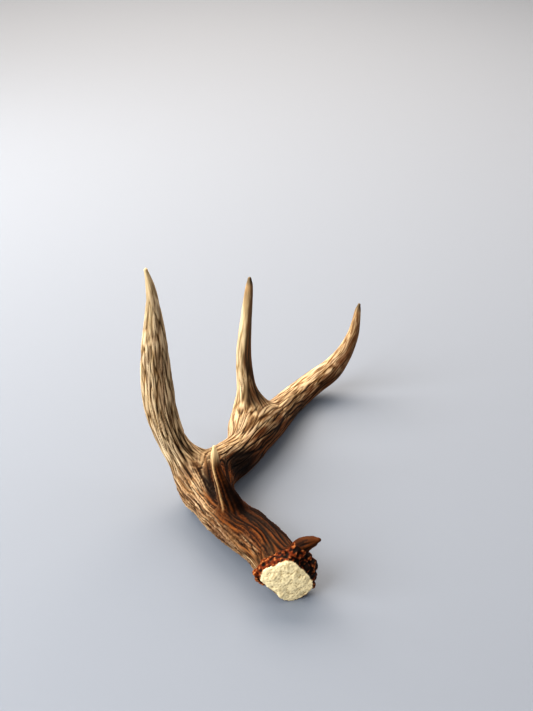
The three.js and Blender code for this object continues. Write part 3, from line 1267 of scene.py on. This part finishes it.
@dataclass(frozen=True)
class Antler:
    """The antler's bone, from its limbs to its finished skin.

    Args:
        voxel: mm between two corners of the skin.
        moves: how often the skin is moved onto the bone's shape.
        slide: share by which its corners even out between moves.
        coarse_voxel: mm between two corners of the first, rougher skin.
        coarse_rounds: how often the rougher skin is smoothed and moved.
        coarse_moves: how often it is moved in each round.
        coarse_slide: share by which its corners even out.
        pull: share of its distance from the bone by which a corner moves.
        longest_pull: the longest such move, in mm.
        loft_sides: corners round each limb that the skin starts from.
        loft_row: mm between rows of them.
        mingle: mm over which the marks of two limbs pass into each other.
        least_share: share below which a limb's marks are left out.
        far: a distance in mm that stands for out of reach.
        margin: mm round a limb within which points are near it.
        root_gap: mm by which a limb's root stands back from its neighbour's marks.
        streak_edge: how dark the grain is where a dark streak starts, and is full.
        glint_edge: how light it is where a light streak starts, and is full.
        texture: the bone of its root.
    """

    voxel: float = 0.66
    quick_voxel: float = 0.9
    moves: int = 4
    slide: float = 0.4
    coarse_voxel: float = 1.6
    coarse_rounds: int = 5
    coarse_moves: int = 2
    coarse_slide: float = 0.5
    pull: float = 0.95
    longest_pull: float = 1.5
    loft_sides: int = 48
    loft_row: float = 3.0
    mingle: float = 5.0
    least_share: float = 0.004
    far: float = 60.0
    margin: float = 16.0
    root_gap: float = 15.0
    streak_edge: tuple[float, float] = (0.08, 0.6)
    glint_edge: tuple[float, float] = (0.05, 0.55)
    texture: RootTexture = RootTexture()

    def readings(self, points: np.ndarray) -> dict[str, tuple[np.ndarray, Reading]]:
        """Each limb's reading of the points near it.

        Args:
            points: places in mm.

        Returns:
            For each limb, the numbers of the points near it, and its reading of them.
        """
        found = {}
        for name, limb in LIMBS.items():
            margin = limb.line.radii.max() + max(self.margin, limb.web + self.mingle)
            low = limb.line.centre.min(axis=0) - margin
            high = limb.line.centre.max(axis=0) + margin
            near = np.flatnonzero(np.all((points > low) & (points < high), axis=1))
            found[name] = (near, limb.read(points[near]))
        return found

    def spread(self, near: np.ndarray, values: np.ndarray, count: int) -> np.ndarray:
        """Values of the near points among all points, with far for the rest."""
        out = np.full(count, self.far)
        out[near] = values
        return out

    def distance(self, points: np.ndarray, pearls: bool) -> np.ndarray:
        """Mm outside the whole antler's bone.

        Args:
            points: places in mm.
            pearls: whether the coronet's pearls count.

        Returns:
            Distances, negative inside.
        """
        found = self.readings(points)
        near, reading = found.pop("beam")
        bone = SHED_FACE.cut(reading.distance, reading)
        if pearls:
            bone = soft_min(bone, CORONET.distance(points[near], reading), CORONET.melt)
        total = self.spread(near, bone, len(points))
        for name, (near, reading) in found.items():
            web = LIMBS[name].web_at(points[near])
            total[near] = soft_min(total[near], reading.distance, web)
        return total

    def lofts(self) -> list[Solid]:
        """Closed limbs that overlap."""
        return [
            limb.loft(self.loft_sides, self.loft_row, SHED_FACE.dome() if limb.open_root else limb.bud())
            for limb in LIMBS.values()
        ]

    @staticmethod
    def balls() -> list[Solid]:
        """Closed balls in the pearls' places."""
        shape = bmesh.new()
        bmesh.ops.create_icosphere(shape, subdivisions=2, radius=1.0)
        corners = np.array([tuple(one.co) for one in shape.verts])
        faces = [tuple(corner.index for corner in face.verts) for face in shape.faces]
        shape.free()
        return [(corners * size + centre, faces) for centre, size in zip(*CORONET.pearls)]

    @staticmethod
    def melted(solids: list[Solid], voxel: float) -> Skin:
        """One even skin round solids that overlap.

        Args:
            solids: the solids.
            voxel: mm between two corners of the skin.

        Returns:
            The skin.
        """
        corners: list[np.ndarray] = []
        faces: Faces = []
        count = 0
        for solid_corners, solid_faces in solids:
            corners.append(solid_corners)
            faces += [tuple(corner + count for corner in face) for face in solid_faces]
            count += len(solid_corners)
        mesh = bpy.data.meshes.new("rough_antler")
        mesh.from_pydata((np.vstack(corners) * MM).tolist(), [], faces)
        rough = bpy.data.objects.new("rough_antler", mesh)
        bpy.context.scene.collection.objects.link(rough)
        remesh = rough.modifiers.new("melt", "REMESH")
        remesh.mode = "VOXEL"
        remesh.voxel_size = voxel * MM
        done = rough.evaluated_get(bpy.context.evaluated_depsgraph_get())
        made = done.to_mesh()
        spots = np.empty(len(made.vertices) * 3)
        made.vertices.foreach_get("co", spots)
        rings = np.empty(len(made.loops), np.int64)
        made.loops.foreach_get("vertex_index", rings)
        done.to_mesh_clear()
        bpy.data.objects.remove(rough, do_unlink=True)
        return Skin(spots.reshape(-1, 3) / MM, rings.reshape(-1, 4))

    def fit(self, skin: Skin, pearls: bool, moves: int, slide: float) -> None:
        """Moves a skin onto the bone's exact shape.

        Args:
            skin: the skin.
            pearls: whether the coronet's pearls count.
            moves: how often it is moved.
            slide: share by which its corners even out between moves.
        """
        for _ in range(moves):
            out = skin.outward()
            gap = self.distance(skin.corners, pearls)
            gap = np.clip(gap, -self.longest_pull, self.longest_pull)
            shift = skin.eased(skin.corners, 1) - skin.corners
            shift -= np.sum(shift * out, axis=1)[:, None] * out
            skin.corners = skin.corners + slide * shift - self.pull * gap[:, None] * out

    def fitted(self) -> Skin:
        """The skin on the bone's exact shape, with the hollows of the forks filled first."""
        filled = self.melted(self.lofts(), self.coarse_voxel)
        for _ in range(self.coarse_rounds):
            filled.corners = filled.eased(filled.corners, 2)
            self.fit(filled, False, self.coarse_moves, self.coarse_slide)
        faces = [tuple(face) for face in filled.faces.tolist()]
        voxel = self.voxel
        skin = self.melted([(filled.corners, faces), *self.lofts(), *self.balls()], voxel)
        self.fit(skin, True, self.moves, self.slide)
        return skin

    def marks(self, points: np.ndarray) -> tuple[Marks, np.ndarray]:
        """The marks at each point, and the limb that each point belongs to.

        Args:
            points: places on the skin, in mm.

        Returns:
            The marks, and numbers of limbs in the order of LIMBS.
        """
        found = self.readings(points)
        count = len(points)
        gaps = np.stack(
            [self.spread(near, reading.distance, count) for near, reading in found.values()], axis=1
        )
        owner = np.argmin(gaps, axis=1)
        for number, (name, (near, _)) in enumerate(found.items()):
            gaps[near, number] += self.root_gap * LIMBS[name].root_share(points[near])
        weight = np.exp(-(gaps - gaps.min(axis=1)[:, None]) / self.mingle)
        weight /= weight.sum(axis=1)[:, None]
        totals = {name: np.zeros(count) for name in Marks.__dataclass_fields__}
        for number, (name, (near, reading)) in enumerate(found.items()):
            useful = weight[near, number] > self.least_share
            near = near[useful]
            part = Reading(**{
                key: getattr(reading, key)[useful] for key in Reading.__dataclass_fields__
            })
            carved = CARVER.carve(part, RELIEFS[name])
            for key in totals:
                totals[key][near] += weight[near, number] * getattr(carved, key)
        return Marks(**totals), owner

    def carved(self) -> "FinishedSkin":
        """Carves the antler's skin.

        A factor such as 1 - 0.75 * coronet is a share: on the coronet 0.25 is left.

        Returns:
            The finished skin.
        """
        skin = self.fitted()
        points = skin.corners
        marks, owner = self.marks(points)
        root = BEAM.read(points)
        texture = self.texture
        lumps = texture.lumps.at(points)
        grit = texture.grit.at(points)
        knobs = texture.knobs.at(points)

        # Where the shed face and the coronet are.
        near_root = step_up(texture.root_ends[1], texture.root_ends[0], root.run)
        near_root = near_root * (root.distance < texture.root_reach)
        inside = SHED_FACE.distance(root) - root.distance
        inside = inside + texture.grit_push * grit + texture.lump_push * lumps
        face = step_up(*texture.edge, inside) * near_root
        start, stop = texture.coronet_ends
        coronet = step_up(stop, start, root.run + texture.coronet_push * lumps) * near_root
        coronet = coronet * (1 - face)
        bare = 1 - face

        lift = marks.lift * bare * (1 - 0.75 * coronet)
        lift = lift + face * (texture.lump_size * lumps + texture.grit_size * grit)
        lift = lift + coronet * texture.knob_size * knobs
        out = skin.outward()
        skin.corners = points + lift[:, None] * out
        skin.corners[:, 2] = np.maximum(skin.corners[:, 2], 0.0)

        calm_rounds = texture.calm_rounds
        calm = skin.eased(skin.corners, calm_rounds)
        # How far each corner lies in a hollow, which gets painted shade.
        sunk = np.sum((calm - skin.corners) * out, axis=1) / texture.hollow_depth
        hollow = np.clip(sunk, 0, 1)
        # How far each corner stands proud, which is made paler: partly rubbed wear, partly painted
        # highlight.
        proud = np.clip(-sunk, 0, 1)
        # Painted shade on the coronet: darker on its side away from the window light and between its
        # knobs.
        coronet_shade = texture.dark_swing * np.cos(root.turn - texture.dark_turn)
        coronet_shade = np.clip(texture.dark_level - texture.dark_knobs * knobs + coronet_shade, 0, 1)
        stain = marks.stain
        clean = 1 - marks.dye
        # Ribs fade where the bone is black, and so also in the painted shade and painted shadow of the
        # dark patches.
        lit = 1 - 0.6 * marks.soot
        # Pale pearl tops: rubbed wear, and a painted highlight that is left out of the coronet's painted
        # shade.
        rubbed = step_up(*texture.pearl_edge, proud) * step_up(*texture.rubbed, grit)
        # The shed face's pits: stained lumps, and painted shade in its hollows.
        pit = 0.7 * hollow + 0.45 * step_up(*texture.pit_edge, lumps)
        patterns = {
            "_dye": marks.dye * bare,
            # Pale ridge tops: rubbed wear, and a painted highlight kept mostly to the lit side.
            "_ridge": marks.crest * (1 - 0.75 * stain) * (0.3 + 0.7 * clean),
            # Stain, and painted shade on each limb's side away from the window light.
            "_stain": stain,
            "_amber": marks.crest * stain,
            "_peak": marks.peak * stain,
            "_streak": step_up(*self.streak_edge, -marks.streak) * (1 - marks.worn) * bare,
            "_glint": step_up(*self.glint_edge, marks.streak) * (1 - stain) * bare,
            "_furrow": marks.furrow,
            # Black tips and stains, with painted shade and painted shadow from the dark patches.
            "_soot": marks.soot,
            "_rib": marks.rib * lit * clean,
            "_rib_dyed": marks.rib * lit * marks.dye,
            "_cream": marks.worn,
            "_coronet": coronet,
            # Painted shade on the coronet's side away from the window light and between its knobs.
            "_shaded_coronet": coronet * coronet_shade,
            # Paler on bumps that stand proud: partly rubbed wear, partly painted highlight.
            "_proud": proud * (1 - stain) * bare * (1 - coronet) * clean,
            "_proud_brown": proud * stain * (1 - coronet) * (1 - marks.soot),
            "_pearl": rubbed * coronet * (1 - coronet_shade),
            # Painted shade in the skin's hollows.
            "_hollow_shade": hollow * (0.75 + 0.25 * coronet),
            "_face": face,
            # Stained lumps on the shed face, and painted shade in its hollows.
            "_face_pit": face * np.clip(pit, 0, 1),
        }
        masks = {coat.mask: coat.cover * patterns[coat.mask] for coat in COATS}
        return FinishedSkin(skin, owner, masks)


# ---------------------------------------------------------------- pieces


def border_loops(faces: np.ndarray) -> list[list[int]]:
    """The open borders of a set of faces.

    Args:
        faces: four corners for each face.

    Returns:
        Corners round each border, in the order in which a cap's faces run.
    """
    starts = faces.ravel()
    stops = np.roll(faces, -1, axis=1).ravel()
    size = int(faces.max()) + 1
    forward = starts * size + stops
    backward = stops * size + starts
    open_edges = ~np.isin(forward, backward)
    follow = dict(zip(stops[open_edges].tolist(), starts[open_edges].tolist()))
    loops = []
    while follow:
        first, corner = follow.popitem()
        loop = [first]
        while corner != first and corner in follow:
            loop.append(corner)
            corner = follow.pop(corner)
        loops.append(loop)
    return loops


@dataclass
class FinishedSkin:
    """The carved skin with the masks that its finish reads, parted into pieces.

    Args:
        skin: the carved surface.
        owner: the limb that each corner belongs to.
        masks: one number for each corner, by the name that the finish reads.
    """

    skin: Skin
    owner: np.ndarray
    masks: dict[str, np.ndarray]

    @cached_property
    def normals(self) -> np.ndarray:
        """The direction out of the whole skin at each corner, so that no cut shows."""
        return self.skin.normals()

    @cached_property
    def parted(self) -> np.ndarray:
        """The piece that each face belongs to, as its place in Piece."""
        middles = self.skin.corners[self.skin.faces].mean(axis=1)
        owner = self.owner[self.skin.faces[:, 0]]
        place = {piece: number for number, piece in enumerate(Piece)}
        picked = np.full(len(middles), place[Piece.BEAM_BASE])
        on_beam = owner == list(LIMBS.values()).index(BEAM)
        beam_run = BEAM.spot(middles) * BEAM.line.step
        for piece in (Piece.BEAM_MIDDLE, Piece.BEAM_TIP):
            picked[on_beam & (beam_run > FORKS[piece].run())] = place[piece]
        for piece, parent in (
            (Piece.BROW_TINE, Piece.BEAM_BASE),
            (Piece.SECOND_TINE, Piece.BEAM_BASE),
            (Piece.THIRD_TINE, Piece.BEAM_MIDDLE),
        ):
            limb = FORKS[piece].limb
            mine = np.flatnonzero(owner == list(LIMBS.values()).index(limb))
            run = limb.spot(middles[mine]) * limb.line.step
            picked[mine] = np.where(run > FORKS[piece].run(), place[piece], place[parent])
        return picked

    def build(self, piece: Piece) -> bpy.types.Object:
        """Makes one piece of the skin, closed at its cuts.

        Args:
            piece: which one.

        Returns:
            The piece.
        """
        number = list(Piece).index(piece)
        used, local = np.unique(self.skin.faces[self.parted == number], return_inverse=True)
        local = local.reshape(-1, 4)
        corners = self.skin.corners[used]
        caps = []
        tips = []
        for loop in border_loops(local):
            tip = len(used) + len(tips)
            tips.append(corners[loop].mean(axis=0))
            caps += [(loop[i], loop[(i + 1) % len(loop)], tip) for i in range(len(loop))]
        cap_corners = np.array(caps, np.int64).reshape(-1, 3)
        name = "bone_" + piece.value
        mesh = bpy.data.meshes.new(name)
        mesh.vertices.add(len(used) + len(tips))
        mesh.vertices.foreach_set("co", (np.vstack([corners, *tips]) * MM).ravel())
        mesh.loops.add(local.size + cap_corners.size)
        mesh.loops.foreach_set("vertex_index", np.concatenate([local.ravel(), cap_corners.ravel()]))
        starts = np.concatenate([
            np.arange(len(local)) * 4,
            local.size + np.arange(len(cap_corners)) * 3,
        ])
        mesh.polygons.add(len(starts))
        mesh.polygons.foreach_set("loop_start", starts)
        mesh.update(calc_edges=True)
        mesh.validate()
        mesh.polygons.foreach_set("use_smooth", np.ones(len(mesh.polygons), bool))
        upward = np.tile([0.0, 0.0, 1.0], (len(tips), 1))
        mesh.normals_split_custom_set_from_vertices(np.vstack([self.normals[used], upward]).tolist())
        made = bpy.data.objects.new(name, mesh)
        bpy.context.scene.collection.objects.link(made)
        for mask, values in self.masks.items():
            layer = mesh.attributes.new(mask, "FLOAT", "POINT")
            layer.data.foreach_set("value", np.concatenate([values[used], np.zeros(len(tips))]))
        return made

    @staticmethod
    def dress(made: bpy.types.Object, piece: Piece, finish: bpy.types.Material) -> None:
        """Gives a piece its finish and its place in the part.

        Args:
            made: the piece as it was built.
            piece: which one it is.
            finish: the finish of its slot.
        """
        made.data.materials.append(finish)
        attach(made, "root")
        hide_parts(piece.value)


# ---------------------------------------------------------------- finishes


def linear(colour: str) -> tuple[float, float, float, float]:
    """An sRGB hex colour as linear values.

    Args:
        colour: six hex digits after a #.

    Returns:
        Red, green, blue and alpha.
    """
    parts = [int(colour[i : i + 2], 16) / 255 for i in (1, 3, 5)]
    red, green, blue = (
        part / 12.92 if part <= 0.04045 else ((part + 0.055) / 1.055) ** 2.4 for part in parts
    )
    return red, green, blue, 1.0


def add(
    tree: bpy.types.NodeTree,
    kind: str,
    settings: dict[str, object] | None = None,
    links: dict[str | int, object] | None = None,
) -> bpy.types.Node:
    """Adds a node with its settings and links.

    Args:
        tree: the material's nodes.
        kind: the node's type.
        settings: its properties by name.
        links: for each input, the output that feeds it or the value that it takes.

    Returns:
        The node.
    """
    node = tree.nodes.new(kind)
    for name, value in (settings or {}).items():
        setattr(node, name, value)
    for name, value in (links or {}).items():
        if isinstance(value, bpy.types.NodeSocket):
            tree.links.new(value, node.inputs[name])
        else:
            node.inputs[name].default_value = value
    return node


@dataclass(frozen=True)
class Coat:
    """A colour that lies over the bone where one of the skin's masks says so.

    Args:
        mask: the mask's name.
        colour: the colour.
        cover: how much of the bone's own colour it hides at most, 0 to 1.
    """

    mask: str
    colour: str
    cover: float = 1.0


# From the bone outward: sap and soil that soaked in, then dirt, then what rubbing bared again, with
# painted shade and painted highlight among them.
COATS = (
    Coat("_dye", "#7e4218", 0.8),
    # Pale ridge tops: rubbed wear, and a painted highlight kept mostly to the lit side.
    Coat("_ridge", "#f6e6cb", 0.66),
    # Stain, and painted shade on each limb's side away from the window light.
    Coat("_stain", "#2a0d03", 0.95),
    Coat("_amber", "#7c4212", 0.12),
    Coat("_peak", "#7d4216", 0.55),
    Coat("_streak", "#4f2a0e", 0.7),
    Coat("_glint", "#ead1a8", 0.6),
    Coat("_furrow", "#140602", 0.95),
    Coat("_rib", "#e0bd8a", 0.8),
    Coat("_rib_dyed", "#9c6230", 0.5),
    Coat("_cream", "#f0dcb0", 0.8),
    # Black tips and stains, and the dark patches that are painted shade and painted shadow.
    Coat("_soot", "#0f0401", 0.95),
    Coat("_coronet", "#5c240a"),
    # Painted shade on the coronet's side away from the window light and between its knobs.
    Coat("_shaded_coronet", "#160b06"),
    # Paler on bumps that stand proud, on the pale side, the dark side and the coronet's pearls: partly
    # rubbed wear, partly painted highlight.
    Coat("_proud", "#e2c79c", 0.4),
    Coat("_proud_brown", "#a05c24", 0.1),
    Coat("_pearl", "#b07040", 0.85),
    # Painted shade in the skin's hollows.
    Coat("_hollow_shade", "#0d0502"),
    Coat("_face", "#fdebbe"),
    # Stained lumps on the shed face, and painted shade in its hollows.
    Coat("_face_pit", "#9c7f4b"),
)


@dataclass(frozen=True)
class AntlerBone:
    """Bare antler bone: grown in skin, rubbed on bark, stained by sap and soil and dried.

    Dense bone has an index of refraction near 1.55.  Its open pores make it matt, with hardly
    any shine, and where it was rubbed they are closed and it has a soft shine.

    Args:
        name: the slot that it is for.
        weathered: the bone's own colour.
        grey: its colour in the blotches that rain has leached.
        roughness: how matt the dry bone is.
        worn_roughness: how matt it is where it was rubbed smooth.
        ior: bone's index of refraction.
        gloss: how much its porous surface shines.
        blotches: blotches to a mm: one is about 14 mm long.
        blotch_edge: the pattern's values where a blotch starts and is full.
        pores: pores to a mm.  Real ones are about 0.2 mm across and wouldn't show, so that
            these are drawn as coarse as 0.7 mm.
        pore_depth: depth of a pore in mm.
        pore_strength: how far they tilt the surface, 0 to 1.
    """

    name: str
    weathered: str = "#ab8451"
    grey: str = "#8f7142"
    roughness: float = 0.6
    worn_roughness: float = 0.42
    ior: float = 1.55
    gloss: float = 0.06
    blotches: float = 0.07
    blotch_edge: tuple[float, float] = (0.35, 0.65)
    pores: float = 1.4
    pore_depth: float = 0.12
    pore_strength: float = 0.6

    def build(self) -> bpy.types.Material:
        """The finish as a Blender material."""
        material = bpy.data.materials.new(self.name)
        material.use_nodes = True
        tree = material.node_tree
        tree.nodes.clear()
        where = add(tree, "ShaderNodeTexCoord").outputs["Object"]
        scale = self.blotches / MM
        blotch = add(tree, "ShaderNodeTexNoise", {}, {"Vector": where, "Scale": scale, "Detail": 3.0})
        scale = self.pores / MM
        pores = add(tree, "ShaderNodeTexNoise", {}, {"Vector": where, "Scale": scale, "Detail": 2.0})
        start, full = self.blotch_edge
        tone = add(
            tree,
            "ShaderNodeMapRange",
            {},
            {"Value": blotch.outputs["Fac"], "From Min": start, "From Max": full},
        )
        # Inputs 0, 6 and 7 of a colour mix are its share and its two colours, and output 2 is the mix.
        mix = {"data_type": "RGBA"}
        inputs = {0: tone.outputs[0], 6: linear(self.weathered), 7: linear(self.grey)}
        colour = add(tree, "ShaderNodeMix", mix, inputs).outputs[2]
        for coat in COATS:
            share = add(tree, "ShaderNodeAttribute", {"attribute_name": coat.mask})
            inputs = {0: share.outputs["Fac"], 6: colour, 7: linear(coat.colour)}
            colour = add(tree, "ShaderNodeMix", mix, inputs).outputs[2]
        worn = add(tree, "ShaderNodeAttribute", {"attribute_name": "_cream"})
        rough = add(
            tree,
            "ShaderNodeMapRange",
            {},
            {
                "Value": worn.outputs["Fac"],
                "To Min": self.roughness,
                "To Max": self.worn_roughness,
            },
        )
        bump = add(
            tree,
            "ShaderNodeBump",
            {},
            {
                "Strength": self.pore_strength,
                "Distance": self.pore_depth * MM,
                "Height": pores.outputs["Fac"],
            },
        )
        shader = add(
            tree,
            "ShaderNodeBsdfPrincipled",
            {},
            {
                "Base Color": colour,
                "Roughness": rough.outputs[0],
                "IOR": self.ior,
                "Specular IOR Level": self.gloss,
                "Normal": bump.outputs[0],
            },
        )
        add(tree, "ShaderNodeOutputMaterial", {}, {"Surface": shader.outputs[0]})
        return material


# The three finishes are one bone, and differ in which of its coats its masks let through.
FINISHES = {
    # Stained antler bone, soaked with the sap of rubbed bark: dark brown, with pale ribs, and painted
    # shade on its dark side.
    Slot.STAINED: AntlerBone("stained_bone"),
    # Weathered antler bone, leached by sun and rain: dull tan, with dark streaks in the grain.
    Slot.WEATHERED: AntlerBone("weathered_bone"),
    # Polished antler bone, rubbed smooth at the tines' ends: pale, with a soft shine.
    Slot.POLISHED: AntlerBone("polished_bone"),
}


@dataclass(frozen=True)
class Lamp:
    """A square soft light.

    Args:
        name: what it does.
        place: where it hangs, in metres.
        aim: the point that it faces, in metres.
        size: metres along one side.
        power: its power in watts.
        colour: its colour.
    """

    name: str
    place: Place
    aim: Place
    size: float
    power: float
    colour: str

    def build(self) -> None:
        """Hangs the lamp."""
        light = bpy.data.lights.new(self.name, "AREA")
        light.shape = "SQUARE"
        light.size = self.size
        light.energy = self.power
        light.color = linear(self.colour)[:3]
        made = bpy.data.objects.new(self.name, light)
        made.location = self.place
        way = Vector(self.aim) - Vector(self.place)
        made.rotation_euler = way.to_track_quat("-Z", "Y").to_euler()
        bpy.context.scene.collection.objects.link(made)


LAMPS = (
    Lamp("window_light", (-1.45, -0.85, 1.25), (-0.05, 0.15, 0.05), 1.7, 74.0, "#fffdf8"),
    Lamp("back_light", (-0.3, 1.9, 1.9), (-0.1, 1.9, 0.0), 2.6, 135.0, "#ffedd6"),
    Lamp("fill_light", (1.4, 0.2, 1.2), (0.45, 0.55, 0.0), 1.5, 10.0, "#fdfaf6"),
    Lamp("side_light", (-0.8, 0.75, 0.9), (-0.2, 0.4, 0.0), 0.9, 12.0, "#fffaf0"),
)


@dataclass(frozen=True)
class Studio:
    """The floor, lights and camera.

    Args:
        floor_size: metres along one side of the floor.
        floor: the floor's colour.
        floor_roughness: how matt its paper is.
        camera_place: where the camera stands, in metres.
        camera_pitch: degrees by which it is raised from looking straight down.
        lens: its focal length in mm.
        film: the width of its film in mm.
        sight: metres beyond which it sees nothing.
        sky: the colour of the light from all round.
        sky_power: the strength of that light.
    """

    floor_size: float = 24.0
    floor: str = "#747b87"
    floor_roughness: float = 0.85
    camera_place: Place = (0.0045, -0.776, 0.588)
    camera_pitch: float = 60.0
    lens: float = 50.0
    film: float = 36.0
    sight: float = 60.0
    sky: str = "#f4f2ee"
    sky_power: float = 0.38

    def build(self) -> None:
        """Makes the floor, the lights and the camera."""
        scene = bpy.context.scene
        half = self.floor_size / 2
        corners = [(-half, -half, 0), (half, -half, 0), (half, half, 0), (-half, half, 0)]
        mesh = bpy.data.meshes.new("studio_floor")
        mesh.from_pydata(corners, [], [(0, 1, 2, 3)])
        floor = bpy.data.objects.new("studio_floor", mesh)
        scene.collection.objects.link(floor)
        paper = bpy.data.materials.new("backdrop_paper")
        paper.use_nodes = True
        shader = paper.node_tree.nodes["Principled BSDF"]
        shader.inputs["Base Color"].default_value = linear(self.floor)
        shader.inputs["Roughness"].default_value = self.floor_roughness
        mesh.materials.append(paper)

        for lamp in LAMPS:
            lamp.build()

        world = bpy.data.worlds.new("studio")
        world.use_nodes = True
        back = world.node_tree.nodes["Background"]
        back.inputs["Color"].default_value = linear(self.sky)
        back.inputs["Strength"].default_value = self.sky_power
        scene.world = world
        scene.view_settings.view_transform = "Standard"
        scene.view_settings.look = "Medium High Contrast"

        camera = bpy.data.cameras.new("camera")
        camera.lens = self.lens
        camera.sensor_width = self.film
        camera.clip_end = self.sight
        eye = bpy.data.objects.new("camera", camera)
        eye.location = self.camera_place
        eye.rotation_euler = (math.radians(self.camera_pitch), 0.0, 0.0)
        scene.collection.objects.link(eye)
        scene.camera = eye


def main() -> None:
    """Builds the studio and the antler's pieces."""
    logging.basicConfig(level=logging.INFO, format="%(message)s")
    Studio().build()
    finished = Antler().carved()
    log.info("skin: %d faces", len(finished.skin.faces))
    finishes = {slot: finish.build() for slot, finish in FINISHES.items()}
    for piece in Piece:
        made = finished.build(piece)
        finished.dress(made, piece, finishes[SLOT_OF[piece]])
        log.info("%s: %d faces", made.name, len(made.data.polygons))


if __name__ == "__main__":
    main()
